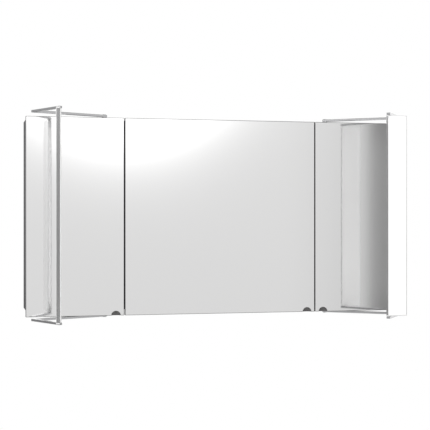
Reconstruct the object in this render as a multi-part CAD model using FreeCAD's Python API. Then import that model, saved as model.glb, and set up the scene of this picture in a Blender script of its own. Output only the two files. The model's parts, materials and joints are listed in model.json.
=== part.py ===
"""Wall mirror cabinet: three mirror doors and two lamp panels on swinging brackets.

Millimetres, +X to the viewer's right, +Y towards the wall, +Z up. Heights below are
measured from the lower edge of the doors; the last step moves the origin to the wall,
at the middle of the wall rail's four screw holes.
"""
import math
import os

import FreeCAD
import Part

V = FreeCAD.Vector
UP = V(0, 0, 1)
BACK = V(0, 1, 0)
RIGHT = V(1, 0, 0)

# doors
SPAN = 1400.0
DOOR_H = 700.0
OUTER_W = 344.0
DOOR_GAP = 4.0
MIRROR_T = 4.0
CORE_T = 14.0
INNER_T = 3.0
NOTCH_R = 17.0
NOTCH_FROM_EDGE = 29.0
SCOOP_DEPTH = 9.0

# carcass
CASE_DEPTH = 150.0
CASE_INSET = 2.0
CASE_DROP = 8.0
CASE_LIFT = 20.0
BOARD = 16.0
BACK_T = 4.0
BACK_RECESS = 16.0
DOOR_AIR = 3.0
BUMPER_R = 2.4

# shelves
SHELF_T = 6.0
SHELF_AIR = 1.0
SHELF_FRONT = 10.0
SHELF_BACK = 4.0
PIN_R = 2.5
PIN_OUT = 8.0
PIN_IN = 6.0
PIN_SETBACK = 22.0

# hinges
CUP_R = 17.4
CUP_WALL = 1.4
CUP_DEPTH = 11.0
CUP_RIM = 2.0
CUP_RIM_T = 1.0
CUP_FROM_EDGE = 21.5
EAR_PITCH = 48.0
EAR_R = 6.0
EAR_SCREW_R = 3.4
EAR_SCREW_T = 0.9
HINGE_FROM_END = 90.0
ARM_FROM_EDGE = 22.0
ARM_W = 10.0
ARM_HALF_H = 7.0
ARM_IN_CUP = 5.0
ARM_LENGTH = 59.0
ARM_WALL = 1.6
ARM_NOSE = 9.0
ARM_SLOT_R = 2.2
ARM_SLOT_L = 8.0
PLATE_WING_R = 8.0
PLATE_L = 36.0
PLATE_SETBACK = 10.0
SCREW_R = 2.0
SCREW_HEAD_R = 4.0
SCREW_HEAD_T = 1.8
SCREW_GRIP = 9.0
SCREW_PITCH = 32.0

# wall hanging
RAIL_END_AIR = 1.5
RAIL_H = 40.0
RAIL_T = 2.0
RAIL_STEP = 6.0
RAIL_LIP = 12.0
RAIL_BELOW_TOP = 42.0
RAIL_HOLE_R = 3.25
RAIL_PITCH_X = 1200.0
RAIL_PITCH_Z = 20.0
HANGER_W = 16.0
HANGER_L = 50.0
HOOK_W = 12.0
HOOK_T = 3.0
HOOK_DROP = 10.0
HOOK_AIR = 1.5

# lamp brackets
PIVOT_IN = 283.0
PIVOT_BEHIND = 73.0
LONG_LEG = 288.0
SHORT_LEG = 173.0
ROD_W = 12.0
ROD_H = 8.0
ROD_END = 8.0
TOP_LIFT = 8.0
LOW_AIR = 1.0
PIVOT_R = 4.0
PIVOT_RUN = 0.05
PIVOT_HEAD_R = 6.0
PIVOT_HEAD_T = 1.5
PIVOT_IN_BOARD = 8.0
BOSS_R = 9.0
BOSS_FOOT_R = 14.0
BOSS_FOOT_T = 2.0
LEFT_SWING = 25.5
RIGHT_SWING = 36.0

# lamp panels
LAMP_W = 75.0
LAMP_T = 12.0
LAMP_WALL = 1.5
CAP_T = 4.0
DIFFUSER_T = 2.0
AXLE_R = 3.0
AXLE_FROM_EDGE = 6.5
AXLE_RUN = 0.05
WASHER_T = 0.5
WASHER_R = 5.0
LED_W = 14.0
LED_T = 1.0
LED_FROM_MIDDLE = 12.0
LED_END_AIR = 6.0
LEFT_LAMP_SWING = 81.5
RIGHT_LAMP_SWING = 6.0

# supply and switch
DRIVER = (150.0, 45.0, 25.0)
DRIVER_EAR = 12.0
DRIVER_EAR_T = 3.0
DRIVER_EAR_HOLE_R = 2.2
VENTS = 7
VENT_PITCH = 8.0
VENT_W = 3.0
VENT_H = 12.0
VENT_DEPTH = 1.5
SWITCH_L = 70.0
SWITCH_H = 110.0
SWITCH_T = 10.0
SWITCH_SETBACK = 30.0
SWITCH_BELOW_TOP = 24.0
ROCKER_L = 22.0
ROCKER_H = 33.0
ROCKER_BACK = 4.0
ROCKER_OUT = 2.0
ROCKER_AXIS = 6.0
ROCKER_AIR = 1.5
TRUNNION_R = 1.5
TRUNNION_L = 3.0

# eased edges
EASE = 0.8
MIRROR_BEVEL = 1.5

# carcass screws
DOWEL_R = 3.0
DOWEL_L = 50.0
DOWEL_SETBACK = 38.0

# derived planes
CASE_HALF = SPAN / 2 - CASE_INSET
INNER_HALF = CASE_HALF - BOARD
CASE_Z0 = CASE_LIFT
CASE_Z1 = DOOR_H - CASE_DROP
ROOM_Z0 = CASE_Z0 + BOARD
ROOM_Z1 = CASE_Z1 - BOARD
CASE_FRONT = -CASE_DEPTH
BACK_FRONT = -BACK_RECESS - BACK_T
DOOR_BACK = CASE_FRONT - DOOR_AIR
CORE_BACK = DOOR_BACK - INNER_T
CORE_FRONT = CORE_BACK - CORE_T
DOOR_FRONT = CORE_FRONT - MIRROR_T
SEAM = SPAN / 2 - OUTER_W - DOOR_GAP / 2
MIDDLE_W = SPAN - 2 * (OUTER_W + DOOR_GAP)
RAIL_Z = ROOM_Z1 - RAIL_BELOW_TOP
RAIL_L = 2 * (INNER_HALF - RAIL_END_AIR)
LIP_TOP = RAIL_Z + RAIL_H / 2 + RAIL_LIP
PIVOT_X = SPAN / 2 - PIVOT_IN
PIVOT_Y = DOOR_FRONT + PIVOT_BEHIND
TOP_ROD_Z = DOOR_H + TOP_LIFT
LOW_ROD_Z = -LOW_AIR - ROD_H
LAMP_Z0 = -LOW_AIR + WASHER_T
LAMP_Z1 = TOP_ROD_Z - WASHER_T
LAMP_X = (AXLE_FROM_EDGE - LAMP_W, AXLE_FROM_EDGE)
LAMP_INSIDE = (LAMP_X[0] + LAMP_WALL, LAMP_X[1] - LAMP_WALL)
SHELF_ZS = [ROOM_Z0 + (ROOM_Z1 - ROOM_Z0) * k / 3 - SHELF_T / 2 for k in (1, 2)]


def box(x, y, z):
    """A block between two values on each axis."""
    (x0, x1), (y0, y1), (z0, z1) = sorted(x), sorted(y), sorted(z)
    return Part.makeBox(x1 - x0, y1 - y0, z1 - z0, V(x0, y0, z0))


def rod(start, length, radius, along):
    """A round bar from a point."""
    return Part.makeCylinder(radius, length, V(*start), along)


def ring(start, length, outer, inner, along):
    return rod(start, length, outer, along).cut(rod(start, length, inner, along))


def eased(shape, edges):
    """A small chamfer along the given edges."""
    return shape.makeChamfer(EASE, edges)


def upright(shape):
    """The vertical edges of a block."""
    return [e for e in shape.Edges if abs(e.tangentAt(e.FirstParameter).z) > 0.99]


def group(shapes):
    return Part.makeCompound(shapes)


def less(shape, tools):
    return shape.cut(tools) if tools else shape


# every door: outer edge at the hinge, direction away from it, width, hinge heights, board face
LOW_HINGE = HINGE_FROM_END
HIGH_HINGE = DOOR_H - HINGE_FROM_END
DOORS = {
    "left": (-SPAN / 2, 1, OUTER_W, (LOW_HINGE, HIGH_HINGE), -INNER_HALF),
    "middle": (-MIDDLE_W / 2, 1, MIDDLE_W, (LOW_HINGE, DOOR_H / 2, HIGH_HINGE), -SEAM + BOARD / 2),
    "right": (SPAN / 2, -1, OUTER_W, (LOW_HINGE, HIGH_HINGE), INNER_HALF),
}
ROOMS = {
    "left": (-INNER_HALF, -SEAM - BOARD / 2),
    "middle": (-SEAM + BOARD / 2, SEAM - BOARD / 2),
    "right": (SEAM + BOARD / 2, INNER_HALF),
}


def shelves(room):
    x0, x1 = ROOMS[room]
    y = (CASE_FRONT + SHELF_FRONT, BACK_FRONT - SHELF_BACK)
    plain = [box((x0 + SHELF_AIR, x1 - SHELF_AIR), y, (z, z + SHELF_T)) for z in SHELF_ZS]
    return [eased(plate, plate.Edges) for plate in plain]


def shelf_pins():
    """Four pegs under each shelf, each with one end in a board."""
    ys = (CASE_FRONT + SHELF_FRONT + PIN_SETBACK, BACK_FRONT - SHELF_BACK - PIN_SETBACK)
    pins = []
    for x0, x1 in ROOMS.values():
        for z in SHELF_ZS:
            for y in ys:
                pins.append(rod((x0 - PIN_IN, y, z - PIN_R), PIN_IN + PIN_OUT, PIN_R, RIGHT))
                pins.append(rod((x1 + PIN_IN, y, z - PIN_R), PIN_IN + PIN_OUT, PIN_R, -RIGHT))
    return pins


def dowels():
    """Assembly screws through the sides into the top and bottom boards."""
    out = []
    for side in (-1, 1):
        for y in (CASE_FRONT + DOWEL_SETBACK, -DOWEL_SETBACK):
            for z in (CASE_Z0 + BOARD / 2, CASE_Z1 - BOARD / 2):
                out.append(rod((side * CASE_HALF, y, z), DOWEL_L, DOWEL_R, -side * RIGHT))
    return out


def hinge_plate(x, z):
    """A mounting plate: a bar under the hinge arm and two round-ended wings for the screws."""
    y0 = CASE_FRONT + PLATE_SETBACK
    y, half = y0 + PLATE_L / 2, SCREW_PITCH / 2
    bar = box(x, (y0, y0 + PLATE_L), (z - ARM_HALF_H, z + ARM_HALF_H))
    wing = box(x, (y - PLATE_WING_R, y + PLATE_WING_R), (z - half, z + half))
    ends = [rod((min(x), y, z + dz), abs(x[1] - x[0]), PLATE_WING_R, RIGHT) for dz in (-half, half)]
    return bar.fuse([wing] + ends).removeSplitter()


def hinge_plates(names):
    plates = []
    for name in names:
        edge, way, width, heights, face = DOORS[name]
        for z in heights:
            plates.append(hinge_plate((face, edge + way * ARM_FROM_EDGE), z))
    return plates


def hinge_screws():
    """Two screws through each hinge plate into its board."""
    out = []
    y = CASE_FRONT + PLATE_SETBACK + PLATE_L / 2
    for edge, way, width, heights, face in DOORS.values():
        for z in heights:
            for dz in (-SCREW_PITCH / 2, SCREW_PITCH / 2):
                seat = (edge + way * ARM_FROM_EDGE, y, z + dz)
                length = abs(edge + way * ARM_FROM_EDGE - face) + SCREW_GRIP
                shank = rod(seat, length, SCREW_R, -way * RIGHT)
                out.append(shank.fuse(rod(seat, SCREW_HEAD_T, SCREW_HEAD_R, way * RIGHT)))
    return out


def hinge_arm(x0, way, z):
    """A pressed channel, open towards its plate, closed at the nose, with an adjusting slot."""
    y = (DOOR_BACK - ARM_IN_CUP, DOOR_BACK - ARM_IN_CUP + ARM_LENGTH)
    arm = box((x0, x0 + way * ARM_W), y, (z - ARM_HALF_H, z + ARM_HALF_H))
    arm = eased(arm, arm.Edges)
    web = x0 + way * (ARM_W - ARM_WALL)
    half = ARM_HALF_H - ARM_WALL
    hollow = box((x0, web), (y[0] + ARM_NOSE, y[1] - ARM_WALL), (z - half, z + half))
    mid = CASE_FRONT + PLATE_SETBACK + PLATE_L / 2
    ys = (mid - ARM_SLOT_L / 2, mid + ARM_SLOT_L / 2)
    slot = box((web, x0 + way * ARM_W), ys, (z - ARM_SLOT_R, z + ARM_SLOT_R))
    ends = [rod((web, y_end, z), ARM_WALL, ARM_SLOT_R, way * RIGHT) for y_end in ys]
    return arm.cut([hollow, slot] + ends)


def hinge_arms():
    arms = []
    for edge, way, width, heights, face in DOORS.values():
        arms += [hinge_arm(edge + way * ARM_FROM_EDGE, way, z) for z in heights]
    return arms


def pivot_points():
    return [(-PIVOT_X, PIVOT_Y), (PIVOT_X, PIVOT_Y)]


def pivot_pins(top):
    """Headed pins that the bracket eyes turn on, driven into the carcass board."""
    pins = []
    for x, y in pivot_points():
        if top:
            foot, shoulder, way = CASE_Z1 - PIVOT_IN_BOARD, TOP_ROD_Z + ROD_H, 1
        else:
            foot, shoulder, way = CASE_Z0 + PIVOT_IN_BOARD, LOW_ROD_Z, -1
        shank = rod((x, y, foot), abs(shoulder - foot), PIVOT_R, way * UP)
        pins.append(shank.fuse(rod((x, y, shoulder), PIVOT_HEAD_T, PIVOT_HEAD_R, way * UP)))
    return pins


def bosses(top):
    """Turned spacers with a foot on the carcass board, under each bracket rod."""
    z0, z1 = (CASE_Z1, TOP_ROD_Z) if top else (LOW_ROD_Z + ROD_H, CASE_Z0)
    foot_z = CASE_Z1 if top else CASE_Z0 - BOSS_FOOT_T
    out = []
    for x, y in pivot_points():
        spacer = ring((x, y, z0), z1 - z0, BOSS_R, PIVOT_R, UP)
        foot = ring((x, y, foot_z), BOSS_FOOT_T, BOSS_FOOT_R, PIVOT_R, UP)
        out.append(spacer.fuse(foot).removeSplitter())
    return out


def sides(pins, screws):
    out = {}
    for name, sign in (("side_left", -1), ("side_right", 1)):
        x = (sign * INNER_HALF, sign * CASE_HALF)
        out[name] = less(box(x, (CASE_FRONT, 0), (CASE_Z0, CASE_Z1)), pins + screws)
    return out


def top_and_bottom(screws):
    x = (-INNER_HALF, INNER_HALF)
    top = box(x, (CASE_FRONT, 0), (ROOM_Z1, CASE_Z1))
    bottom = box(x, (CASE_FRONT, 0), (CASE_Z0, ROOM_Z0))
    return {
        "top_panel": less(top, screws + pivot_pins(True)),
        "bottom_panel": less(bottom, screws + pivot_pins(False)),
    }


def partitions(pins, screws):
    out = {}
    for name, sign in (("partition_left", -1), ("partition_right", 1)):
        x = (sign * SEAM - BOARD / 2, sign * SEAM + BOARD / 2)
        out[name] = less(box(x, (CASE_FRONT, BACK_FRONT), (ROOM_Z0, ROOM_Z1)), pins + screws)
    return out


def hook_spans():
    """Left and right hooks across X, centred in their hanger bodies."""
    mid = INNER_HALF - HANGER_W / 2
    return [(s * mid - HOOK_W / 2, s * mid + HOOK_W / 2) for s in (-1, 1)]


def back_panel():
    panel = box((-INNER_HALF, INNER_HALF), (BACK_FRONT, -BACK_RECESS), (ROOM_Z0, ROOM_Z1))
    slots = []
    for x0, x1 in hook_spans():
        z = (LIP_TOP - HOOK_AIR, LIP_TOP + HOOK_T + HOOK_AIR)
        slots.append(box((x0 - HOOK_AIR, x1 + HOOK_AIR), (BACK_FRONT, -BACK_RECESS), z))
    return panel.cut(slots)


def wall_rail():
    """Pressed rail: a flat strip on the wall, a step at its top and an upright lip."""
    x = (-RAIL_L / 2, RAIL_L / 2)
    top = RAIL_Z + RAIL_H / 2
    strip = box(x, (-RAIL_T, 0), (RAIL_Z - RAIL_H / 2, top))
    lip_y = -RAIL_T - RAIL_STEP
    step = box(x, (lip_y, -RAIL_T), (top - RAIL_T, top))
    lip = box(x, (lip_y, lip_y + RAIL_T), (top, LIP_TOP))
    rail = strip.fuse([step, lip]).removeSplitter()
    holes = []
    for dx in (-RAIL_PITCH_X / 2, RAIL_PITCH_X / 2):
        for dz in (-RAIL_PITCH_Z / 2, RAIL_PITCH_Z / 2):
            holes.append(rod((dx, -RAIL_T, RAIL_Z + dz), RAIL_T, RAIL_HOLE_R, BACK))
    return rail.cut(holes)


def hanger_bodies():
    z = (LIP_TOP + HOOK_T - RAIL_H, ROOM_Z1)
    y = (BACK_FRONT - HANGER_L, BACK_FRONT)
    plain = [box((s * INNER_HALF, s * (INNER_HALF - HANGER_W)), y, z) for s in (-1, 1)]
    return [eased(body, body.Edges) for body in plain]


def hanger_hooks():
    """Hooks that rest on the rail's lip and drop behind it."""
    hooks = []
    drop_y = -RAIL_T - RAIL_STEP + RAIL_T + HOOK_AIR
    for x in hook_spans():
        arm = box(x, (BACK_FRONT, drop_y + HOOK_T), (LIP_TOP, LIP_TOP + HOOK_T))
        drop = box(x, (drop_y, drop_y + HOOK_T), (LIP_TOP - HOOK_DROP, LIP_TOP))
        hooks.append(arm.fuse(drop).removeSplitter())
    return hooks


def bumpers():
    """Soft stops on the partition edges behind each door's free end."""
    xs = (-SEAM - DOOR_GAP / 2 - BUMPER_R, SEAM - DOOR_GAP / 2 - BUMPER_R, SEAM + DOOR_GAP / 2 + BUMPER_R)
    zs = (ROOM_Z0 + BOARD, ROOM_Z1 - BOARD)
    return [rod((x, DOOR_BACK, z), DOOR_AIR, BUMPER_R, BACK) for x in xs for z in zs]


def driver_box():
    length, depth, height = DRIVER
    y0 = BACK_FRONT - SHELF_BACK
    case = box((-length / 2, length / 2), (y0 - depth, y0), (ROOM_Z1 - height, ROOM_Z1))
    case = eased(case, case.Edges)
    half, mid_y, mid_z = length / 2 + DRIVER_EAR, y0 - depth / 2, ROOM_Z1 - height / 2
    ears = box((-half, half), (mid_y - DRIVER_EAR, mid_y + DRIVER_EAR), (ROOM_Z1 - DRIVER_EAR_T, ROOM_Z1))
    holes = []
    for x in (-half + DRIVER_EAR / 2, half - DRIVER_EAR / 2):
        holes.append(rod((x, mid_y, ROOM_Z1 - DRIVER_EAR_T), DRIVER_EAR_T, DRIVER_EAR_HOLE_R, UP))
    vents = []
    for k in range(VENTS):
        x = (k - (VENTS - 1) / 2) * VENT_PITCH
        z = (mid_z - VENT_H / 2, mid_z + VENT_H / 2)
        vents.append(box((x - VENT_W / 2, x + VENT_W / 2), (y0 - depth, y0 - depth + VENT_DEPTH), z))
    return case.fuse(ears).removeSplitter().cut(holes + vents)


def switch_frame():
    """Face, middle and height of the switch on the right partition."""
    face = SEAM + BOARD / 2
    mid_y = CASE_FRONT + SWITCH_SETBACK + SWITCH_L / 2
    mid_z = ROOM_Z1 - SWITCH_BELOW_TOP - SWITCH_H / 2
    return face, mid_y, mid_z


def rocker_trunnions(radius, extra):
    face, y, z = switch_frame()
    half = ROCKER_L / 2 + ROCKER_AIR + TRUNNION_L + extra
    return rod((face + ROCKER_AXIS, y - half, z), 2 * half, radius, BACK)


def switch_plate():
    face, y, z = switch_frame()
    half_l, half_h = SWITCH_L / 2, SWITCH_H / 2
    plate = box((face, face + SWITCH_T), (y - half_l, y + half_l), (z - half_h, z + half_h))
    plate = eased(plate, plate.Edges)
    open_l, open_h = ROCKER_L / 2 + ROCKER_AIR, ROCKER_H / 2 + ROCKER_AIR
    window = box((face, face + SWITCH_T), (y - open_l, y + open_l), (z - open_h, z + open_h))
    return plate.cut([window, rocker_trunnions(TRUNNION_R + PIVOT_RUN, PIVOT_RUN)])


def rocker():
    face, y, z = switch_frame()
    x = (face + ROCKER_BACK, face + SWITCH_T + ROCKER_OUT)
    key = box(x, (y - ROCKER_L / 2, y + ROCKER_L / 2), (z - ROCKER_H / 2, z + ROCKER_H / 2))
    key = eased(key, key.Edges)
    return key.fuse(rocker_trunnions(TRUNNION_R, 0)).removeSplitter()


def notch_x(name):
    """Middle of a door's finger notch, near its free end."""
    edge, way, width, heights, face = DOORS[name]
    return edge + way * (width - NOTCH_FROM_EDGE)


def notch(name):
    """Half-moon cut through the outer mirror at its lower edge."""
    return rod((notch_x(name), DOOR_FRONT, 0), MIRROR_T, NOTCH_R, BACK)


def scoop(name):
    """Hollow for a fingertip in the core, as wide as the notch in front of it."""
    radius = (NOTCH_R ** 2 + SCOOP_DEPTH ** 2) / (2 * SCOOP_DEPTH)
    return Part.makeSphere(radius, V(notch_x(name), CORE_FRONT + SCOOP_DEPTH - radius, 0))


def cup_centres(name):
    edge, way, width, heights, face = DOORS[name]
    return [(edge + way * CUP_FROM_EDGE, z) for z in heights]


def mirror_sheet(x, z):
    """Outer mirror with a ground bevel round its front."""
    sheet = box(x, (DOOR_FRONT, CORE_FRONT), z)
    rim = [e for e in sheet.Edges if all(abs(v.Y - DOOR_FRONT) < EASE for v in e.Vertexes)]
    return sheet.makeChamfer(MIRROR_BEVEL, rim)


def hinge_cup(x, z):
    """Pressed cup with a flat rim, and two screwed ears above and below it."""
    floor, half = DOOR_BACK - CUP_DEPTH, EAR_PITCH / 2
    shell = rod((x, floor, z), CUP_DEPTH, CUP_R, BACK)
    rim = rod((x, DOOR_BACK, z), CUP_RIM_T, CUP_R + CUP_RIM, BACK)
    flat = (DOOR_BACK, DOOR_BACK + CUP_RIM_T)
    ears = [box((x - EAR_R, x + EAR_R), flat, (z - half, z + half))]
    for dz in (-half, half):
        ears.append(rod((x, DOOR_BACK, z + dz), CUP_RIM_T, EAR_R, BACK))
        ears.append(rod((x, flat[1], z + dz), EAR_SCREW_T, EAR_SCREW_R, BACK))
    bowl = rod((x, floor + CUP_WALL, z), CUP_DEPTH + CUP_RIM_T, CUP_R - CUP_WALL, BACK)
    return shell.fuse([rim] + ears).removeSplitter().cut(bowl)


def door(name):
    """Core, outer mirror, inner mirror and hinge cups of one door."""
    edge, way, width, heights, face = DOORS[name]
    x, z = (edge, edge + way * width), (0, DOOR_H)
    floor = DOOR_BACK - CUP_DEPTH
    sockets = [rod((cx, floor, cz), CUP_DEPTH, CUP_R, BACK) for cx, cz in cup_centres(name)]
    cups = [hinge_cup(cx, cz) for cx, cz in cup_centres(name)]
    return {
        f"door_{name}_mirror": mirror_sheet(x, z).cut(notch(name)),
        f"door_{name}_core": box(x, (CORE_FRONT, CORE_BACK), z).cut(sockets + [scoop(name)]),
        f"door_{name}_inner_mirror": box(x, (CORE_BACK, DOOR_BACK), z).cut(sockets),
        f"door_{name}_cups": group(cups),
    }


def bracket_rod(z0):
    """One L-shaped bracket rod, square to the cabinet, with its pivot at the origin."""
    half = ROD_W / 2
    z = (z0, z0 + ROD_H)
    long_leg = box((-LONG_LEG - half, ROD_END), (-half, half), z)
    short_leg = box((-LONG_LEG - half, -LONG_LEG + half), (-SHORT_LEG - ROD_END, half), z)
    eye = rod((0, 0, z0), ROD_H, PIVOT_R + PIVOT_RUN, UP)
    seat = rod((-LONG_LEG, -SHORT_LEG, z0), ROD_H, AXLE_R, UP)
    plain = long_leg.fuse(short_leg).removeSplitter()
    return eased(plain, plain.Edges).cut([eye, seat])


def washers():
    at = (-LONG_LEG, -SHORT_LEG)
    return [ring((*at, z), WASHER_T, WASHER_R, AXLE_R, UP) for z in (-LOW_AIR, LAMP_Z1)]


def bracket():
    axle = rod((-LONG_LEG, -SHORT_LEG, LOW_ROD_Z), TOP_ROD_Z + ROD_H - LOW_ROD_Z, AXLE_R, UP)
    return {
        "rod_top": bracket_rod(TOP_ROD_Z),
        "rod_bottom": bracket_rod(LOW_ROD_Z),
        "axle": axle,
        "washers": group(washers()),
    }


def lamp_tray():
    """Aluminium tray with its open side forward."""
    half_t = LAMP_T / 2
    z = (LAMP_Z0 + CAP_T, LAMP_Z1 - CAP_T)
    tray = box(LAMP_X, (-half_t, half_t), z)
    tray = eased(tray, upright(tray))
    return tray.cut(box(LAMP_INSIDE, (-half_t, half_t - LAMP_WALL), z))


def lamp_caps():
    half_t = LAMP_T / 2
    caps = []
    for z0 in (LAMP_Z0, LAMP_Z1 - CAP_T):
        cap = box(LAMP_X, (-half_t, half_t), (z0, z0 + CAP_T))
        cap = eased(cap, upright(cap))
        caps.append(cap.cut(rod((0, 0, z0), CAP_T, AXLE_R + AXLE_RUN, UP)))
    return caps


def lamp_panel():
    """The left lamp facing forward, its swivel axis at the origin, near its inner edge."""
    half_t, middle = LAMP_T / 2, sum(LAMP_X) / 2
    z = (LAMP_Z0 + CAP_T, LAMP_Z1 - CAP_T)
    board_z = (z[0] + LED_END_AIR, z[1] - LED_END_AIR)
    board_y = (half_t - LAMP_WALL - LED_T, half_t - LAMP_WALL)
    boards = []
    for side in (-1, 1):
        near = middle + side * LED_FROM_MIDDLE
        boards.append(box((near, near + side * LED_W), board_y, board_z))
    return {
        "tray": lamp_tray(),
        "diffuser": box(LAMP_INSIDE, (-half_t, DIFFUSER_T - half_t), z),
        "led_boards": group(boards),
        "end_caps": group(lamp_caps()),
    }


def swung(shape, degrees):
    """Turned about the vertical through the origin."""
    out = shape.copy()
    out.rotate(V(0, 0, 0), UP, degrees)
    return out


def moved(shape, x, y):
    out = shape.copy()
    out.translate(V(x, y, 0))
    return out


def axle_point(side):
    """Where a lamp's swivel axis stands in plan."""
    swing = math.radians(LEFT_SWING if side == "left" else RIGHT_SWING)
    sign = 1 if side == "left" else -1
    dx = -LONG_LEG * math.cos(swing) + SHORT_LEG * math.sin(swing)
    dy = -LONG_LEG * math.sin(swing) - SHORT_LEG * math.cos(swing)
    return sign * (dx - PIVOT_X), PIVOT_Y + dy


def wings():
    out = {}
    for piece, shape in bracket().items():
        left = swung(shape, LEFT_SWING)
        right = swung(shape.mirror(V(0, 0, 0), RIGHT), -RIGHT_SWING)
        out[f"wing_left_{piece}"] = moved(left, -PIVOT_X, PIVOT_Y)
        out[f"wing_right_{piece}"] = moved(right, PIVOT_X, PIVOT_Y)
    for piece, shape in lamp_panel().items():
        left = swung(shape, LEFT_LAMP_SWING)
        right = swung(shape.mirror(V(0, 0, 0), RIGHT), RIGHT_LAMP_SWING)
        out[f"lamp_left_{piece}"] = moved(left, *axle_point("left"))
        out[f"lamp_right_{piece}"] = moved(right, *axle_point("right"))
    return out


def carcass():
    pins, screws, joinery = shelf_pins(), hinge_screws(), dowels()
    out = sides(pins, screws + joinery)
    out.update(top_and_bottom(joinery))
    out.update(partitions(pins, screws))
    out.update({
        "back_panel": back_panel(),
        "shelf_pins": group(pins),
        "carcass_screws": group(joinery),
        "bumpers": group(bumpers()),
    })
    for room in ROOMS:
        out[f"shelves_{room}"] = group(shelves(room))
    return out


def fittings():
    screws = hinge_screws()
    outer = [less(plate, screws) for plate in hinge_plates(("left", "right"))]
    middle = [less(plate, screws) for plate in hinge_plates(("middle",))]
    return {
        "hinge_plates_outer": group(outer),
        "hinge_plates_middle": group(middle),
        "hinge_arms": group(hinge_arms()),
        "hinge_screws": group(screws),
        "wall_rail": wall_rail(),
        "hanger_bodies": group(hanger_bodies()),
        "hanger_hooks": group(hanger_hooks()),
        "pivot_bosses_top": group(bosses(True)),
        "pivot_bosses_bottom": group(bosses(False)),
        "pivot_pins_top": group(pivot_pins(True)),
        "pivot_pins_bottom": group(pivot_pins(False)),
        "driver_box": driver_box(),
        "switch_plate": switch_plate(),
        "rocker": rocker(),
    }


def main():
    pieces = carcass()
    pieces.update(fittings())
    for name in DOORS:
        pieces.update(door(name))
    pieces.update(wings())
    os.makedirs("parts", exist_ok=True)
    for node, shape in pieces.items():
        shape.translate(V(0, 0, -RAIL_Z))
        shape.exportStep(f"parts/{node}.step")
    print(len(pieces), "nodes; rail height", RAIL_Z, "axles", axle_point("left"), axle_point("right"))


main()
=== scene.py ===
# %% [markdown]
# # A mirror cabinet, dressed for its portrait
# The solids of the cabinet come from a imported model: every board, mirror, hinge and lamp
# is already in place, in metres. This lesson only adds what a camera needs: a viewpoint,
# studio light, finishes, and small hardware details.

# %% Load the frame
import json
import math

import bmesh
import bpy
from mathutils import Matrix, Vector


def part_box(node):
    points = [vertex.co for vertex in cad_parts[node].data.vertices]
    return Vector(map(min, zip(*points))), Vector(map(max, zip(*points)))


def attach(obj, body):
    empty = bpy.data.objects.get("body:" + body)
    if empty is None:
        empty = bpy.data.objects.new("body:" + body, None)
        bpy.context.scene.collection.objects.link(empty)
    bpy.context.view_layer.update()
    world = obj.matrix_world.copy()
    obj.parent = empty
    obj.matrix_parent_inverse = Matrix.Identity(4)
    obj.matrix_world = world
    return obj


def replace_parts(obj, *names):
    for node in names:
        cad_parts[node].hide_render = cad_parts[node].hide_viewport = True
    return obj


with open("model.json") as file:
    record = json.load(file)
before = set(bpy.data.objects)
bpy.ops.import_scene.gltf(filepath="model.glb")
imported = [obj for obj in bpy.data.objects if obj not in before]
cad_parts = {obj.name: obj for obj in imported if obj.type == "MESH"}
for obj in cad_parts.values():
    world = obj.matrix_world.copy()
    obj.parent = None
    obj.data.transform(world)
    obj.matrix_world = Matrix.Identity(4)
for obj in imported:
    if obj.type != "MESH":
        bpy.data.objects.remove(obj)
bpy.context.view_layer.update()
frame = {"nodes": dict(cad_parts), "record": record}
nodes = frame["nodes"]

# %% [markdown]
# ## The viewpoint
# The photograph was taken from the left of the cabinet with a level camera: all upright
# edges stay upright, so the camera has no tilt, and the seams' heights fix how far it turns.
# A long lens keeps the doors nearly parallel. A tiny vertical shift puts the horizon where
# the picture has it, which is gentler than tilting, because tilting would lean the edges.

# %% Camera
FRAME_PX = 430
FOCAL_PX = 1100.0
HORIZON_BELOW_MIDDLE_PX = 3.6
SENSOR_MM = 36.0
TURN = math.radians(13.086)
STAND = (-0.92526, -4.0462, -0.29085)
FARTHEST = 60.0

camera_data = bpy.data.cameras.new("portrait_camera")
camera_data.sensor_width = SENSOR_MM
camera_data.lens = FOCAL_PX / FRAME_PX * SENSOR_MM
camera_data.shift_y = HORIZON_BELOW_MIDDLE_PX / FRAME_PX
camera_data.clip_end = FARTHEST
camera = bpy.data.objects.new("portrait_camera", camera_data)
camera.location = STAND
camera.rotation_euler = (math.pi / 2, 0.0, -TURN)
bpy.context.scene.collection.objects.link(camera)
bpy.context.scene.camera = camera
bpy.context.scene.view_settings.view_transform = "Standard"
print("lens", round(camera_data.lens, 2), "mm, turned", round(math.degrees(TURN), 2), "degrees")

# %% [markdown]
# ## Writing shader maths as plain expressions
# Node graphs get hard to read when every sum is a box. One small class holds a socket and
# answers to Python's own operators, so `1 - mask` adds the Math node by itself. Each operator
# also has its reflected form, for a plain number on the left.


# %% Sockets that can be added and multiplied
class Wire:
    """An output socket that takes part in arithmetic."""

    def __init__(self, graph, socket):
        self.graph, self.socket = graph, socket

    def math(self, operation, *values):
        return self.graph.add("ShaderNodeMath", {"operation": operation}, dict(enumerate(values)))

    def __add__(self, other):
        return self.math("ADD", self, other)

    def __radd__(self, other):
        return self.math("ADD", other, self)

    def __sub__(self, other):
        return self.math("SUBTRACT", self, other)

    def __rsub__(self, other):
        return self.math("SUBTRACT", other, self)

    def __mul__(self, other):
        return self.math("MULTIPLY", self, other)

    def __rmul__(self, other):
        return self.math("MULTIPLY", other, self)

    def __truediv__(self, other):
        return self.math("DIVIDE", self, other)

    def __rtruediv__(self, other):
        return self.math("DIVIDE", other, self)

    def __pow__(self, other):
        return self.math("POWER", self, other)

    def __rpow__(self, other):
        return self.math("POWER", other, self)

    def least(self, other):
        return self.math("MINIMUM", self, other)

    def most(self, other):
        return self.math("MAXIMUM", self, other)

    def rise(self, low, high):
        """0 below low, 1 above high, smooth between."""
        settings = {"interpolation_type": "SMOOTHSTEP"}
        values = {"Value": self, "From Min": low, "From Max": high}
        return self.graph.add("ShaderNodeMapRange", settings, values)


print("sockets can be added and multiplied")

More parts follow.
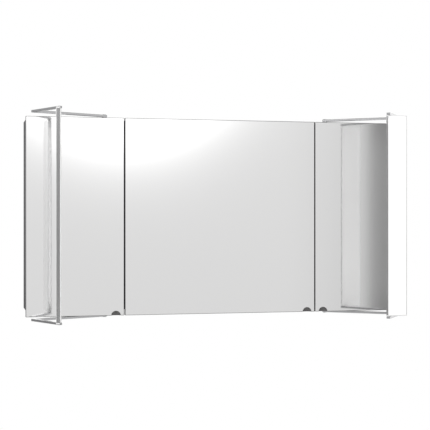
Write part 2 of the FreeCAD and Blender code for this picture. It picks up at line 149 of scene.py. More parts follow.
# %% [markdown]
# ## One way to add a node
# Everything that isn't arithmetic goes through a single method that makes a node, sets it up,
# then fills its sockets with numbers or with wires. Drawing the nodes by hand would show them
# better, but a script can be read, compared and run again.


# %% A graph with one way to add any node
class Graph:
    """A node tree with one way to add any node."""

    def __init__(self, tree):
        self.tree = tree

    def add(self, kind, settings=None, values=None, out=0):
        node = self.tree.nodes.new(kind)
        for key, setting in (settings or {}).items():
            setattr(node, key, setting)
        for key, value in (values or {}).items():
            self.feed(node.inputs[key], value)
        return Wire(self, node.outputs[out]) if node.outputs else None

    def feed(self, socket, value):
        if isinstance(value, Wire):
            self.tree.links.new(value.socket, socket)
        else:
            socket.default_value = value

    def split(self, vector):
        node = self.add("ShaderNodeSeparateXYZ", None, {0: vector}).socket.node
        return [Wire(self, output) for output in node.outputs]


print("node graphs ready")

# %% [markdown]
# ## The studio
# A mirror has no colour of its own: it shows the room. So the room is the real finish of
# the doors. An image of a real room could do this, but a few sums on the direction have no
# noise and can be tuned. Each direction is first turned into two slopes, across and upward,
# which are places on a flat wall behind the camera.

# %% Directions
NEAREST_AHEAD = 0.04
FRONT_FADE = (0.05, 0.35)

world = bpy.data.worlds.new("studio")
bpy.context.scene.world = world
world.use_nodes = True
world.node_tree.nodes.clear()
sky = Graph(world.node_tree)
dx, dy, dz = sky.split(sky.add("ShaderNodeTexCoord", out="Generated"))

forward, downward = 0.0 - dy, 0.0 - dz
ahead = forward.most(NEAREST_AHEAD)
across, upward = dx / ahead, dz / ahead
in_front = forward.rise(*FRONT_FADE)
print("direction nodes:", len(world.node_tree.nodes))

# %% [markdown]
# ## Card and round light
# Behind the camera hangs a pale card. It grows lighter upward and darker towards its right
# end. On its upper half sits a round soft light: an even disc, a little taller than wide,
# whose rim fades out. A lamp object would do too, but its rim couldn't be set so finely.

# %% Card and round light
CARD_LEVEL, CARD_CLIMB, CARD_REACH = 0.765, 0.247, 0.4
CARD_FALL, FALL_FROM = 1.2, 0.303
LIGHT_ACROSS, LIGHT_UP, LIGHT_RADIUS, LIGHT_FADE = 0.145, 0.261, 0.195, 0.021
LIGHT_LEVEL, LIGHT_NARROW = 0.64, 1.23

card = CARD_LEVEL + CARD_CLIMB * upward.least(CARD_REACH).most(-CARD_REACH)
card = card - CARD_FALL * (across.least(CARD_REACH) - FALL_FROM).most(0.0)

off_across, off_up = LIGHT_NARROW * (across - LIGHT_ACROSS), upward - LIGHT_UP
from_light = (off_across * off_across + off_up * off_up) ** 0.5
past_rim = (from_light - LIGHT_RADIUS).most(0.0)
round_light = LIGHT_LEVEL * math.e ** ((0.0 - past_rim) / LIGHT_FADE)
print("card level", CARD_LEVEL, "and light level", LIGHT_LEVEL)

# %% [markdown]
# ## Dark gaps and a strip light
# At the right the card ends, and the outer door shows the darker studio there. A tall strip
# light stands beyond that gap: from the camera's place the doors don't show it, but the brushed
# edge of the left lamp catches it, so its image in the door stays pale. Two more dark gaps, at
# the left and at the far right, give the bright lamp trays and rods something grey to reflect.
# Black flags on stands would do that in a real studio; here each is a smooth step in a slope.

# %% Dark gaps and strip light
GAP_HEIGHT = (0.02, 0.07)
CARD_END, END_DARK = (0.3795, 0.3875), 0.50
OFF_LEVEL, OFF_LEVEL_DARK = (0.0035, 0.0085), 0.18
PAST_END, PAST_DARK = (0.386, 0.404), 0.16
DARK_STOPS = (0.415, 0.43)
FAR_FROM, FAR_TO, FAR_DARK = (0.56, 0.64), (0.85, 1.0), 0.85
LEFT_FROM, LEFT_DARK = (0.06, 0.17), 0.86
LEFT_PALER, PALER_BY = (0.45, 0.6), 0.22
LEFT_TO, ENDS_BY = (1.0, 1.6), 0.78
STRIP_FROM, STRIP_TO, STRIP_HEIGHT, STRIP_LEVEL = (0.43, 0.442), (0.54, 0.56), (0.04, 0.1), 1.6

steep = upward * upward
level_gap = 1 - steep.rise(*GAP_HEIGHT)

card_end = END_DARK * across.rise(*CARD_END) * (1 + OFF_LEVEL_DARK * steep.rise(*OFF_LEVEL))
past_card = card_end + PAST_DARK * across.rise(*PAST_END)
past_card = past_card * (1 - across.rise(*DARK_STOPS))
far_right = across.rise(*FAR_FROM) * (1 - across.rise(*FAR_TO))
right_gap = level_gap * (past_card + FAR_DARK * far_right)

leftward = 0.0 - across
left_fade = 1 - PALER_BY * leftward.rise(*LEFT_PALER) - ENDS_BY * leftward.rise(*LEFT_TO)
left_gap = LEFT_DARK * level_gap * (leftward.rise(*LEFT_FROM) * left_fade)

strip_light = across.rise(*STRIP_FROM) * (1 - across.rise(*STRIP_TO))
strip_light = strip_light * (1 - steep.rise(*STRIP_HEIGHT))
front = card * (1 - right_gap) * (1 - left_gap) + round_light + STRIP_LEVEL * strip_light
print("nodes with gaps and strip:", len(world.node_tree.nodes))

# %% [markdown]
# ## The room around
# Behind the cabinet the room is grey, darker below eye level, with white paper at the right,
# so that the lower rods read darker than the upper ones. Rays that go from the camera straight
# past the cabinet meet plain white. A white wall would give that too, but it would hide the
# cabinet's back from a camera that goes round it.

# %% Room and background
ROOM_GREY = 0.44
PAPER_ACROSS, PAPER_BEHIND, PAPER_LIGHT = (0.45, 0.7), (0.3, 0.6), 0.7
BELOW, BELOW_DARK = (-0.04, 0.1), 0.18
FAR_FROM_LEVEL, FAR_BELOW_DARK, FAR_ABOVE_DARK = (0.4, 0.85), 0.05, 0.3

paper = dx.rise(*PAPER_ACROSS) * dy.rise(*PAPER_BEHIND)
around = ROOM_GREY + PAPER_LIGHT * paper - BELOW_DARK * downward.rise(*BELOW)
around = around - FAR_BELOW_DARK * downward.rise(*FAR_FROM_LEVEL)
around = around - FAR_ABOVE_DARK * dz.rise(*FAR_FROM_LEVEL)
room = around * (1 - in_front) + front * in_front

straight = sky.add("ShaderNodeLightPath", out="Is Camera Ray")
level = room * (1 - straight) + straight
background = sky.add("ShaderNodeBackground", None, {"Color": level})
sky.add("ShaderNodeOutputWorld", None, {"Surface": background})
print("studio nodes:", len(world.node_tree.nodes))

# %% [markdown]
# ## Floor
# The cabinet hangs on a wall at eye height, so the pale studio floor lies well below it and
# outside the picture. It only sends soft light up to the lower edges, so one plain face is
# enough.

# %% Pale floor
FLOOR_BELOW, FLOOR_HALF_W, FLOOR_FRONT, FLOOR_BACK = 1.75, 2.6, -3.2, 1.6

corners = [(-FLOOR_HALF_W, FLOOR_FRONT), (FLOOR_HALF_W, FLOOR_FRONT),
           (FLOOR_HALF_W, FLOOR_BACK), (-FLOOR_HALF_W, FLOOR_BACK)]
floor_mesh = bpy.data.meshes.new("studio_floor")
floor_mesh.from_pydata([(x, y, -FLOOR_BELOW) for x, y in corners], [], [(0, 1, 2, 3)])
floor = bpy.data.objects.new("studio_floor", floor_mesh)
bpy.context.scene.collection.objects.link(floor)
print("floor", FLOOR_BELOW, "m below the wall screws")

# %% [markdown]
# ## Soft lights
# Two broad lamps do the rest. The key at the upper left draws thin bright edges on the rods;
# the softbox above the doors fills the shelves and the floor. Both are large, so they make no
# hard shadow. The softbox is kept out of glossy reflections, or every rod would show it as a
# white glint that the photograph doesn't have.


# %% Soft lights
def soft_light(name, place, aim, width, height, watts):
    data = bpy.data.lights.new(name, "AREA")
    data.shape, data.size, data.size_y, data.energy = "RECTANGLE", width, height, watts
    light = bpy.data.objects.new(name, data)
    light.location = place
    light.rotation_euler = (Vector(aim) - Vector(place)).to_track_quat("-Z", "Y").to_euler()
    bpy.context.scene.collection.objects.link(light)
    print(name, "at", place, watts, "W")
    return light


soft_light("soft_key", place=(-2.2, -2.6, 1.6), aim=(0.0, -0.2, -0.3),
           width=1.4, height=1.4, watts=40.0)
softbox = soft_light("overhead_softbox", place=(0.0, -1.2, 2.4), aim=(0.0, -1.0, -FLOOR_BELOW),
                     width=2.8, height=1.0, watts=85.0)
softbox.visible_glossy = False

# %% [markdown]
# ## A recipe for finishes
# Each finish starts from the same shader. Values that are the same all over are typed into
# its sockets; values that change over the surface come from noise in object space, in metres,
# so a grain keeps its real size on every piece. A noise scale is then a count per metre, and
# a small stretch draws the noise out along that axis.

# %% Finish helpers
MM = 0.001
RELIEF_STRENGTH = 0.5
# A Mix node lists sockets for every kind of data; these are the ones for colours.
MIX_FACTOR, MIX_FIRST, MIX_SECOND, MIX_RESULT = 0, 6, 7, 2


def spelled(named):
    """Socket names with the shader's own spaces."""
    return {name.replace("_", " "): value for name, value in named.items()}


def finish(name, **fixed):
    """A new material with its shader, and the graph to add detail in."""
    material = bpy.data.materials.new(name)
    material.use_nodes = True
    material.node_tree.nodes.clear()
    graph = Graph(material.node_tree)
    shader = graph.add("ShaderNodeBsdfPrincipled", None, spelled(fixed))
    graph.add("ShaderNodeOutputMaterial", None, {"Surface": shader})
    return material, graph, shader.socket.node


def vary(graph, shader, **varying):
    """Feed the shader with what changes over the surface."""
    for name, value in spelled(varying).items():
        graph.feed(shader.inputs[name], value)


def grain(graph, scale, stretch=(1.0, 1.0, 1.0), detail=2.0):
    """Noise from 0 to 1, scale in waves per metre."""
    place = graph.add("ShaderNodeTexCoord", out="Object")
    place = graph.add("ShaderNodeVectorMath", {"operation": "MULTIPLY"}, {0: place, 1: stretch})
    return graph.add("ShaderNodeTexNoise", None, {"Vector": place, "Scale": scale, "Detail": detail})


def tint(graph, mask, dark, light):
    """A colour between two, by a mask from 0 to 1."""
    values = {MIX_FACTOR: mask, MIX_FIRST: (*dark, 1.0), MIX_SECOND: (*light, 1.0)}
    return graph.add("ShaderNodeMix", {"data_type": "RGBA"}, values, out=MIX_RESULT)


def bumps(graph, shader, height, depth):
    """Fine relief, depth in metres."""
    values = {"Strength": RELIEF_STRENGTH, "Distance": depth, "Height": height}
    vary(graph, shader, Normal=graph.add("ShaderNodeBump", None, values))


print("finish helpers ready")

# %% [markdown]
# ## Floor finish
# Pale paint with a faint cloud in its colour and gloss. The underside is clear, so that a
# camera below the floor still sees the cabinet. The script can't know where the camera goes,
# so it can't hide the floor for such views; a mix by the side of the face serves them all.

# %% Floor finish
FLOOR_DARK, FLOOR_LIGHT = (0.86, 0.86, 0.85), (0.90, 0.90, 0.89)
FLOOR_ROUGH, FLOOR_SPREAD = 0.6, 0.15
SCUFFS_PER_M, FLOOR_CLOUDS_PER_M = 8.0, 2.0

pale, g, shader = finish("pale_floor")
vary(g, shader, Roughness=FLOOR_ROUGH + FLOOR_SPREAD * grain(g, SCUFFS_PER_M),
     Base_Color=tint(g, grain(g, FLOOR_CLOUDS_PER_M), FLOOR_DARK, FLOOR_LIGHT))
underside = g.add("ShaderNodeNewGeometry", out="Backfacing")
clear = g.add("ShaderNodeBsdfTransparent")
painted = Wire(g, shader.outputs[0])
one_sided = g.add("ShaderNodeMixShader", None, {0: underside, 1: painted, 2: clear})
g.feed(pale.node_tree.nodes["Material Output"].inputs["Surface"], one_sided)
floor.data.materials.append(pale)
print("floor painted on its upper side")

# %% [markdown]
# ## Mirror glass
# Silvered glass is a metal with almost no roughness. Faint wiping marks change the little
# there is, and keep the large doors from looking computed. The ground upper and lower edges
# carry no silver: they read as the thin grey lines that part the doors from a white wall, so
# the mask takes them from the direction that each face looks in.

# %% Mirror
BARE_EDGE, SILVER = (0.07, 0.072, 0.072), (0.94, 0.938, 0.937)
POLISHED, WIPED, GROUND = 0.055, 0.012, 0.3
CLEAN, MARKS = 0.97, 0.015
WIPES_PER_M, WIPED_UPWARD, SPECKS_PER_M = 3.0, (1.0, 1.0, 0.35), 900.0
LEVEL_FACE = (0.1, 0.4)

mirror, g, shader = finish("silvered_mirror", Metallic=1.0)
wipe, speck = grain(g, WIPES_PER_M, WIPED_UPWARD, detail=3.0), grain(g, SPECKS_PER_M)
tilt = g.split(g.add("ShaderNodeTexCoord", out="Normal"))[2]
silver = 1 - (tilt * tilt).rise(*LEVEL_FACE)
shine = silver * (CLEAN + MARKS * wipe + MARKS * speck)
vary(g, shader, Roughness=POLISHED + WIPED * wipe + GROUND * (1 - silver),
     Base_Color=tint(g, shine, BARE_EDGE, SILVER))
print("mirror ready")

# %% [markdown]
# ## Boards
# The carcass is board with a dark grey melamine skin: a faint pebbled relief and a satin
# gloss. The doors' cores have the same decor on their edge banding, drawn a little finer.
# Two noises do it, fine pebbles and broad clouds; a picture of melamine could repeat visibly.

# %% Melamine
MELAMINE_ROUGH, MELAMINE_SPREAD, PEBBLE_DEPTH = 0.38, 0.14, 0.12 * MM
PEBBLE_SHARE, BOARD_CLOUDS_PER_M = 0.6, 14.0


def melamine(name, dark, light, pebbles):
    material, g, shader = finish(name, Specular_IOR_Level=0.4)
    fine, broad = grain(g, pebbles), grain(g, BOARD_CLOUDS_PER_M, detail=4.0)
    mask = PEBBLE_SHARE * fine + (1 - PEBBLE_SHARE) * broad
    vary(g, shader, Base_Color=tint(g, mask, dark, light),
         Roughness=MELAMINE_ROUGH + MELAMINE_SPREAD * broad)
    bumps(g, shader, fine, PEBBLE_DEPTH)
    return material


board = melamine("graphite_melamine", dark=(0.075, 0.075, 0.08), light=(0.105, 0.105, 0.11),
                 pebbles=1300.0)
back_board = melamine("back_board_film", dark=(0.16, 0.16, 0.165), light=(0.21, 0.21, 0.215),
                      pebbles=900.0)
edging = melamine("door_edge_band", dark=(0.10, 0.097, 0.098), light=(0.14, 0.136, 0.137),
                  pebbles=2200.0)
print("boards ready")

# %% [markdown]
# ## Metals
# Bracket rods are chromed steel, lamp trays bright brushed aluminium, and hinges nickel-plated.
# Brushing is noise drawn out along the length of the piece; it moves roughness more than
# colour. An anisotropic shader would do too, but noise also gives the marks that show close up.

# %% Metals
BRUSH_SHARE, BRUSH_SPREAD, METAL_CLOUDS_PER_M = 0.7, 0.08, 9.0


def metal(name, dark, light, rough, stretch, scale, depth):
    material, g, shader = finish(name, Metallic=1.0)
    lines, cloud = grain(g, scale, stretch), grain(g, METAL_CLOUDS_PER_M, detail=3.0)
    mask = BRUSH_SHARE * lines + (1 - BRUSH_SHARE) * cloud
    vary(g, shader, Base_Color=tint(g, mask, dark, light), Roughness=rough + BRUSH_SPREAD * lines)
    bumps(g, shader, lines, depth)
    return material


chrome = metal("chromed_rod", dark=(0.63, 0.63, 0.64), light=(0.74, 0.74, 0.75),
               rough=0.14, stretch=(1, 1, 1), scale=260.0, depth=0.02 * MM)
aluminium = metal("brushed_tray", dark=(0.80, 0.80, 0.805), light=(0.88, 0.88, 0.885),
                  rough=0.20, stretch=(1, 1, 0.006), scale=900.0, depth=0.04 * MM)
steel = metal("nickel_steel", dark=(0.57, 0.56, 0.54), light=(0.63, 0.62, 0.60),
              rough=0.24, stretch=(1, 0.12, 1), scale=2600.0, depth=0.01 * MM)
print("metals ready")

# %% [markdown]
# ## Glass shelves
# The shelves are clear float glass with a green cast, which comes from iron in the melt. A
# tinted transmission gives it; a faint haze keeps the sheets from vanishing.

# %% Glass
GLASS_DARK, GLASS_LIGHT = (0.86, 0.94, 0.91), (0.90, 0.96, 0.94)
GLASS_ROUGH, HAZE_ROUGH, HAZE_PER_M = 0.015, 0.02, 6.0

glass, g, shader = finish("float_glass", IOR=1.5, Transmission_Weight=1.0)
haze = grain(g, HAZE_PER_M, detail=3.0)
vary(g, shader, Roughness=GLASS_ROUGH + HAZE_ROUGH * haze,
     Base_Color=tint(g, haze, GLASS_DARK, GLASS_LIGHT))
print("glass ready")

# %% [markdown]
# ## Lamp faces and backs
# The lamp faces are opal plastic that glows softly; tiny prisms in their surface break up the
# light. The lamps' backs are white lacquer with painted light: a faint emission, brighter
# towards the top, stands in for the light they would catch, so that the doors show them as
# light as the room. Real diodes behind the opal would take far more light samples to come out
# smooth, so the opal's glow sits in its finish.

# %% Lamp faces and backs
WHITE, WARM_WHITE, DIM_WHITE = (1.0, 1.0, 1.0), (0.97, 0.97, 0.96), (0.70, 0.70, 0.70)
OPAL_DARK, OPAL_LIGHT = (0.90, 0.90, 0.89), (0.94, 0.94, 0.94)
LACQUER_DARK, LACQUER_LIGHT = (0.84, 0.84, 0.84), (0.89, 0.89, 0.89)
OPAL_ROUGH, LACQUER_ROUGH, LAMP_SPREAD = 0.42, 0.34, 0.1
PRISMS_PER_M, PRISM_DEPTH = 2400.0, 0.1 * MM
PEEL_PER_M, PEEL_DEPTH = 420.0, 0.05 * MM
OPAL_DRIFT_PER_M, LACQUER_DRIFT_PER_M = 2.5, 3.0
# Object heights over which the painted light on the lamp backs grows from dim to full.
PAINTED_LIGHT_HEIGHT = (-0.3, 0.06)

opal, g, shader = finish("opal_lamp_face", Emission_Strength=0.12, Specular_IOR_Level=0.3)
prisms, drift = grain(g, PRISMS_PER_M), grain(g, OPAL_DRIFT_PER_M)
vary(g, shader, Base_Color=tint(g, drift, OPAL_DARK, OPAL_LIGHT),
     Emission_Color=tint(g, drift, WARM_WHITE, WHITE),
     Roughness=OPAL_ROUGH + LAMP_SPREAD * prisms)
bumps(g, shader, prisms, PRISM_DEPTH)

# The lamp backs are no lamps: their emission is painted light, brighter towards the top.
lamp_back, g, shader = finish("white_lamp_back", Emission_Strength=0.27, Specular_IOR_Level=0.4)
peel, drift = grain(g, PEEL_PER_M), grain(g, LACQUER_DRIFT_PER_M)
painted_light_by_height = g.split(g.add("ShaderNodeTexCoord", out="Object"))[2].rise(*PAINTED_LIGHT_HEIGHT)
vary(g, shader, Base_Color=tint(g, drift, LACQUER_DARK, LACQUER_LIGHT),
     Emission_Color=tint(g, painted_light_by_height, DIM_WHITE, WHITE),
     Roughness=LACQUER_ROUGH + LAMP_SPREAD * peel)
bumps(g, shader, peel, PEEL_DEPTH)
print("lamp faces and backs ready")

# %% [markdown]
# ## Plastics
# Housings, switch, stops and washers are moulded, and a mould's spark-eroded walls leave a
# fine even texture. One function makes them all; they differ in tone, gloss and grain.

# %% Plastics
TEXTURE_SHARE, TEXTURE_SPREAD, MOULD_CLOUDS_PER_M = 0.5, 0.12, 20.0


def moulded(name, dark, light, rough, texture, depth):
    material, g, shader = finish(name, Specular_IOR_Level=0.45)
    fine, broad = grain(g, texture), grain(g, MOULD_CLOUDS_PER_M, detail=3.0)
    mask = TEXTURE_SHARE * fine + (1 - TEXTURE_SHARE) * broad
    vary(g, shader, Base_Color=tint(g, mask, dark, light), Roughness=rough + TEXTURE_SPREAD * fine)
    bumps(g, shader, fine, depth)
    return material


white_plastic = moulded("white_switch_plastic", dark=(0.80, 0.80, 0.78), light=(0.86, 0.86, 0.84),
                        rough=0.25, texture=1500.0, depth=0.05 * MM)
grey_plastic = moulded("grey_housing_plastic", dark=(0.15, 0.15, 0.155), light=(0.20, 0.20, 0.205),
                       rough=0.45, texture=1800.0, depth=0.1 * MM)
led_board = moulded("led_board_lacquer", dark=(0.78, 0.77, 0.70), light=(0.84, 0.83, 0.77),
                    rough=0.35, texture=1200.0, depth=0.04 * MM)
rubber = moulded("soft_stop", dark=(0.52, 0.52, 0.50), light=(0.60, 0.60, 0.58),
                 rough=0.55, texture=2000.0, depth=0.06 * MM)
nylon = moulded("nylon_washer", dark=(0.62, 0.62, 0.60), light=(0.70, 0.70, 0.68),
                rough=0.4, texture=1600.0, depth=0.04 * MM)
trim_grey = moulded("grey_trim_plastic", dark=(0.27, 0.27, 0.275), light=(0.33, 0.33, 0.335),
                    rough=0.4, texture=1600.0, depth=0.04 * MM)
pale_cap = moulded("pale_cap_plastic", dark=(0.70, 0.70, 0.70), light=(0.77, 0.77, 0.77),
                   rough=0.4, texture=1600.0, depth=0.05 * MM)
print("plastics ready")

# %% [markdown]
# ## Handing out the finishes
# The record names a material slot for every solid, so one table dresses them all. Only the
# lamps' end caps leave it: they are moulded in a paler grey than the other housings.

# %% Finishes by slot
BY_SLOT = {
    "melamine": board, "back_board": back_board, "door_board": edging, "mirror": mirror,
    "glass": glass, "steel": steel, "chrome": chrome, "aluminium": aluminium,
    "diffuser": opal, "white_plastic": white_plastic, "grey_plastic": grey_plastic,
    "led_board": led_board, "rubber": rubber, "nylon": nylon,
}
for part in frame["record"]["subparts"]:
    solid = nodes[part["node"]]
    solid.data.materials.clear()
    solid.data.materials.append(BY_SLOT[part["material_slot"]])
for side in ("left", "right"):
    nodes[f"lamp_{side}_end_caps"].data.materials[0] = pale_cap

# %% [markdown]
# ## Making small hardware
# Screws, sheets and plugs are drawn as point loops that are joined into closed skins. A loop
# needs few points, so it is quick to read, and the same helper serves every round part. Boxes
# and cylinders with modifiers would do too, but they hide where the edges come from.

# %% Loops and skins
ROUND = 24


def skin(bm, loops):
    """Faces between loops of equal length, one after another."""
    for low, high in zip(loops, loops[1:]):
        for k in range(len(low)):
            bm.faces.new((low[k - 1], low[k], high[k], high[k - 1]))


def loop(bm, points, place):
    return [bm.verts.new(place @ Vector(point)) for point in points]


def closed(bm, outlines, place):
    """A skin through several outlines, with a face at each end."""
    loops = [loop(bm, outline, place) for outline in outlines]
    skin(bm, loops)
    bm.faces.new(loops[0])
    bm.faces.new(loops[-1])


def circle(radius, z):
    turns = [2 * math.pi * k / ROUND for k in range(ROUND)]
    return [(radius * math.cos(turn), radius * math.sin(turn), z) for turn in turns]


def facing(seat, axis):
    """Place for a part drawn along +Z, seated at a point and pointing along an axis."""
    turn = Vector((0.0, 0.0, 1.0)).rotation_difference(Vector(axis))
    return Matrix.Translation(Vector(seat)) @ turn.to_matrix().to_4x4()


print("round parts have", ROUND, "sides")

# %% [markdown]
# ## From mesh to piece
# A mesh becomes a piece of the cabinet when it has a finish and a body that carries it. Edges
# sharper than thirty degrees stay crisp, and the rest is shaded smooth, which suits small
# turned and pressed parts better than a bevel on each.

# %% Pieces that ride
CRISP = math.radians(30.0)


def piece(name, bm, body, material):
    """A finished object that rides on a body of the cabinet."""
    bmesh.ops.recalc_face_normals(bm, faces=bm.faces)
    mesh = bpy.data.meshes.new(name)
    bm.to_mesh(mesh)
    bm.free()
    mesh.shade_smooth()
    mesh.set_sharp_from_angle(angle=CRISP)
    mesh.materials.append(material)
    made = bpy.data.objects.new(name, mesh)
    bpy.context.scene.collection.objects.link(made)
    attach(made, body)
    print(name, len(mesh.polygons), "faces on", body)
    return made


print("edges stay crisp above", round(math.degrees(CRISP)), "degrees")

# %% [markdown]
# ## Cross-head screws
# The hinges and hangers are held and set by one kind of pan-head screw. The head is a low
# dome turned round its axis; the cross is a twelve-sided outline sunk into its top. A flat
# disc would do from far away, but the sunk cross is what tells the eye that it is a screw.

# %% Screw
# Shares of the head's radius; the dome's pairs are shares of its radius and of its height.
SHANK, CROSS_ARM, CROSS_HALF = 0.5, 0.52, 0.13
DOME = ((1.0, 0.0), (1.0, 0.45), (0.86, 0.85), (0.64, 1.0))
CROSS_TAPER, CROSS_FLOOR = 0.8, 0.35


def cross_outline(arm, half):
    """Twelve corners: three for each quarter turn."""
    quarter, outline = ((arm, -half), (arm, half), (half, half)), []
    for turn in range(4):
        c, s = round(math.cos(turn * math.pi / 2)), round(math.sin(turn * math.pi / 2))
        outline += [(c * x - s * y, s * x + c * y) for x, y in quarter]
    return outline


def cross_screw(bm, seat, axis, head_r, head_t, shank_l):
    place = facing(seat, axis)
    turned = [(SHANK * head_r, -shank_l), (SHANK * head_r, 0.0)]
    turned += [(across_share * head_r, up_share * head_t) for across_share, up_share in DOME]
    rings = [loop(bm, circle(radius, z), place) for radius, z in turned]
    skin(bm, rings)
    bm.faces.new(rings[0])
    outline = cross_outline(CROSS_ARM * head_r, CROSS_HALF * head_r)
    sunk = [(CROSS_TAPER * x, CROSS_TAPER * y, CROSS_FLOOR * head_t) for x, y in outline]
    mouth = loop(bm, [(x, y, head_t) for x, y in outline], place)
    bottom = loop(bm, sunk, place)
    skin(bm, [mouth, bottom])
    bm.faces.new(bottom)
    rim = [bm.edges.get((rings[-1][k - 1], rings[-1][k])) for k in range(ROUND)]
    cut = [bm.edges.get((mouth[k - 1], mouth[k])) for k in range(len(mouth))]
    bmesh.ops.triangle_fill(bm, use_beauty=True, edges=rim + cut)


print("screw cross has", len(cross_outline(CROSS_ARM, CROSS_HALF)), "corners")

# %% [markdown]
# ## Hinge hardware
# Concealed hinges have two screws through each mounting plate, two through the ears of each
# cup, and one adjusting screw in the slot of the arm. They show as soon as a door opens. The
# seats are worked out from the doors' edges, because hinges are set out from there.

# %% Hinge screws
OUTER_Z, MIDDLE_Z = (-0.544, -0.024), (-0.544, -0.284, -0.024)
# Each door's hinged edge, the way in from it, and its hinges' heights.
HINGED = {"left": (-0.7, 1, OUTER_Z), "middle": (-0.352, 1, MIDDLE_Z), "right": (0.7, -1, OUTER_Z)}
PLATE_Y, EAR_Y = -0.122, -0.152
PLATE_IN, CUP_IN, ARM_RISE = 22 * MM, 21.5 * MM, 8.4 * MM
PLATE_REACH, EAR_REACH = 16 * MM, 24 * MM
# Head radius, head height and shank length.
PLATE_SCREW, EAR_SCREW = (4 * MM, 1.8 * MM, 12 * MM), (3.5 * MM, 1 * MM, 0.9 * MM)
ARM_SCREW = (3.4 * MM, 2.6 * MM, 1 * MM)

plate_screws, adjusters = bmesh.new(), bmesh.new()
for door, (edge, way, heights) in HINGED.items():
    ears = bmesh.new()
    plate_x, cup_x = edge + way * PLATE_IN, edge + way * CUP_IN
    for z in heights:
        for up in (-1, 1):
            seat = (plate_x, PLATE_Y, z + up * PLATE_REACH)
            cross_screw(plate_screws, seat, (way, 0, 0), *PLATE_SCREW)
            cross_screw(ears, (cup_x, EAR_Y, z + up * EAR_REACH), (0, 1, 0), *EAR_SCREW)
        seat = (plate_x + way * ARM_RISE, PLATE_Y, z)
        cross_screw(adjusters, seat, (way, 0, 0), *ARM_SCREW)
    piece(f"door_{door}_ear_screws", ears, f"door_{door}", steel)
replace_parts(piece("hinge_plate_screws", plate_screws, "cabinet", steel), "hinge_screws")
piece("hinge_adjusting_screws", adjusters, "cabinet", steel)

# %% [markdown]
# ## Hanger screws
# The plastic hangers in the upper corners carry the cabinet on the wall rail. Two screws in
# the front of each one lift the hook and pull it to the wall. Their heights are shares of the
# hanger's own box, so they stay on it.

# %% Hanger screws
HANGER_IN, HANGER_SHARES = 8 * MM, (0.32, 0.68)
HANGER_SCREW = (4.5 * MM, 1.2 * MM, 3 * MM)

hangers = bmesh.new()
hanger_low, hanger_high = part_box("hanger_bodies")
for way in (-1, 1):
    x = way * (hanger_high[0] - HANGER_IN)
    for share in HANGER_SHARES:
        z = hanger_low[2] + share * (hanger_high[2] - hanger_low[2])
        cross_screw(hangers, (x, hanger_low[1], z), (0, -1, 0), *HANGER_SCREW)
piece("hanger_adjusting_screws", hangers, "cabinet", steel)

# %% [markdown]
# ## Rod plugs
# The bracket rods read as flat tube, so each end is closed with a small grey plug whose face
# stands out a little, with a sloped rim. It is drawn as three loops of a rectangle
# with cut corners; a bevelled box would do too, but loops keep every edge where it is named.

# %% Rod plugs
MIRRORED = {"left": 1, "right": -1}
SWING = {"left": 25.5, "right": -36.0}
ROD_Z = (0.078, -0.639)
LONG_LEG, SHORT_LEG, ROD_END = 288 * MM, 173 * MM, 8 * MM
# Half width, half height, cut corner and height of each loop, in millimetres.
PLUG_LOOPS = ((5.3, 3.3, 1.0, -1.5), (5.3, 3.3, 1.0, 0.4), (4.7, 2.7, 0.8, 0.8))
QUARTER = Matrix.Rotation(math.pi / 2, 4, "Z")
joint_at = {joint["name"]: joint["pos_m"] for joint in frame["record"]["behaviour"]["joints"]}


def cut_rectangle(half_w, half_h, corner, z):
    w, h = half_w - corner, half_h - corner
    return [(half_w, -h, z), (half_w, h, z), (w, half_h, z), (-w, half_h, z),
            (-half_w, h, z), (-half_w, -h, z), (-w, -half_h, z), (w, -half_h, z)]


for side, mirrored in MIRRORED.items():
    plugs = bmesh.new()
    pivot = joint_at[f"{side}_bracket_swing"]
    turn = Matrix.Rotation(math.radians(SWING[side]), 4, "Z")
    outlines = [cut_rectangle(*(MM * size for size in sizes)) for sizes in PLUG_LOOPS]
    for z in ROD_Z:
        at = Matrix.Translation((pivot[0], pivot[1], z)) @ turn
        inner = facing((mirrored * ROD_END, 0, 0), (mirrored, 0, 0)) @ QUARTER
        outer = facing((-mirrored * LONG_LEG, -SHORT_LEG - ROD_END, 0), (0, -1, 0))
        closed(plugs, outlines, at @ inner)
        closed(plugs, outlines, at @ outer)
    piece(f"wing_{side}_rod_plugs", plugs, f"wing_{side}", trim_grey)

# %% [markdown]
# ## Lamp back sheets
# Each lamp is an extruded tray with a white lacquered sheet riveted to its back, over the end
# caps too, and that is what the mirror doors see. A painted tray would do, but the sheet's
# edge and its rivets make the back worth a look. The sheet is a rectangle with cut corners
# and a sloped rim, the rivets are low domes.

# %% Lamp back sheets
LAMP_TURN = {"left": 81.5, "right": 6.0}
LAMP_W, LAMP_HALF_T, AXLE_FROM_EDGE = 75 * MM, 6 * MM, 6.5 * MM
SHEET_T, SHEET_INSET, SHEET_CORNER, SHEET_SLOPE = 0.6 * MM, 0.4 * MM, 3 * MM, 0.3 * MM
RIM_SHARE = 0.7
RIVET_DOME = ((2.2 * MM, 0.0), (1.98 * MM, 0.35 * MM), (1.21 * MM, 0.6 * MM))
RIVETS_ALONG, RIVETS_ACROSS = (-0.94, -0.32, 0.32, 0.94), (-0.8, 0.8)
# Turns that take a part drawn along +Z to the lamp's back, upright.
TO_BACK = Matrix(((-1, 0, 0, 0), (0, 0, 1, 0), (0, 1, 0, 0), (0, 0, 0, 1)))


def lamp_place(side, low, high):
    """The axle at half the height of a box, turned with its lamp."""
    axle = joint_at[f"{side}_lamp_swivel"]
    turn = Matrix.Rotation(math.radians(LAMP_TURN[side]), 4, "Z")
    return Matrix.Translation((axle[0], axle[1], (low[2] + high[2]) / 2)) @ turn


def thin_plate(bm, place, half_w, half_h, thick, corner, slope):
    """Plate with cut corners and a sloped rim, its face along +Z of its place."""
    base = cut_rectangle(half_w, half_h, corner, 0.0)
    rim = cut_rectangle(half_w, half_h, corner, thick - RIM_SHARE * slope)
    face = cut_rectangle(half_w - slope, half_h - slope, corner, thick)
    closed(bm, [base, rim, face], place)


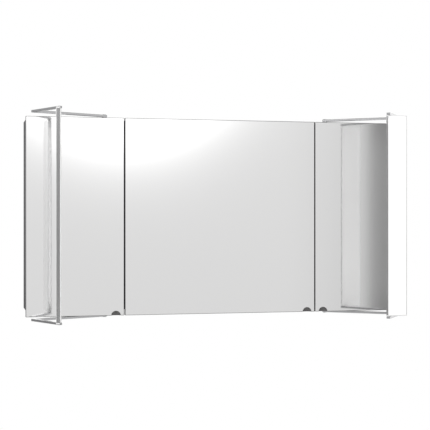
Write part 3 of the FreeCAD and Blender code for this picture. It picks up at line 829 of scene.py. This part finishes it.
for side, mirrored in MIRRORED.items():
    sheet = bmesh.new()
    low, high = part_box(f"lamp_{side}_end_caps")
    half_w, half_h = LAMP_W / 2 - SHEET_INSET, (high[2] - low[2]) / 2 - SHEET_INSET
    middle = Matrix.Translation((mirrored * (AXLE_FROM_EDGE - LAMP_W / 2), LAMP_HALF_T, 0.0))
    place = lamp_place(side, low, high) @ middle @ TO_BACK
    thin_plate(sheet, place, half_w, half_h, SHEET_T, SHEET_CORNER, SHEET_SLOPE)
    for along in RIVETS_ALONG:
        for sideways in RIVETS_ACROSS:
            seat = Matrix.Translation((sideways * half_w, along * half_h, SHEET_T))
            closed(sheet, [circle(radius, z) for radius, z in RIVET_DOME], place @ seat)
    piece(f"lamp_{side}_back_sheet", sheet, f"lamp_{side}", lamp_back)

# %% [markdown]
# ## Lamp face trims
# A slim grey lip covers the joint between each opal face and the two long walls of its tray.
# It is what outlines the white lamp against a white wall. A darker band in the opal's finish
# would look the same from the front, but the lip also has an edge of its own.

# %% Lamp face trims
TRIM_W, TRIM_T, TRIM_FROM_EDGE, TRIM_SHORT = 1.6 * MM, 0.25 * MM, 1.0 * MM, 0.2 * MM
TRIM_CORNER, TRIM_SLOPE = 0.3 * MM, 0.1 * MM
TO_FRONT = Matrix(((1, 0, 0, 0), (0, 0, -1, 0), (0, 1, 0, 0), (0, 0, 0, 1)))

for side, mirrored in MIRRORED.items():
    trims = bmesh.new()
    low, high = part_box(f"lamp_{side}_tray")
    half_h = (high[2] - low[2]) / 2 - TRIM_SHORT
    for way in (-1, 1):
        x = mirrored * (AXLE_FROM_EDGE - LAMP_W / 2) + way * (LAMP_W / 2 - TRIM_FROM_EDGE)
        place = lamp_place(side, low, high) @ Matrix.Translation((x, -LAMP_HALF_T, 0.0)) @ TO_FRONT
        thin_plate(trims, place, TRIM_W / 2, half_h, TRIM_T, TRIM_CORNER, TRIM_SLOPE)
    piece(f"lamp_{side}_face_trims", trims, f"lamp_{side}", trim_grey)

# %% [markdown]
# ## Rocker ridges
# Three fine ridges across the rocker let a fingertip find it in the dark. Each one is a round
# bar with narrowed ends, half sunk into the rocker; bumps in the finish would not be felt.

# %% Rocker ridges
RIDGE_R, RIDGE_HALF, RIDGE_PITCH = 0.5 * MM, 6 * MM, 4 * MM
# Shares of the ridge's radius and half length.
RIDGE_SHAPE = ((0.3, -1.0), (1.0, -0.8), (1.0, 0.8), (0.3, 1.0))

ridges = bmesh.new()
rocker_low, rocker_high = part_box("rocker")
middle_y, middle_z = ((rocker_low[k] + rocker_high[k]) / 2 for k in (1, 2))
for step in (-1, 0, 1):
    seat = (rocker_high[0], middle_y, middle_z + step * RIDGE_PITCH)
    rings = [circle(wide * RIDGE_R, along * RIDGE_HALF) for wide, along in RIDGE_SHAPE]
    closed(ridges, rings, facing(seat, (0, 1, 0)))
piece("rocker_ridges", ridges, "switch_rocker", white_plastic)

# %% [markdown]
# ## Closing

# %% Finish
print("cabinet dressed")
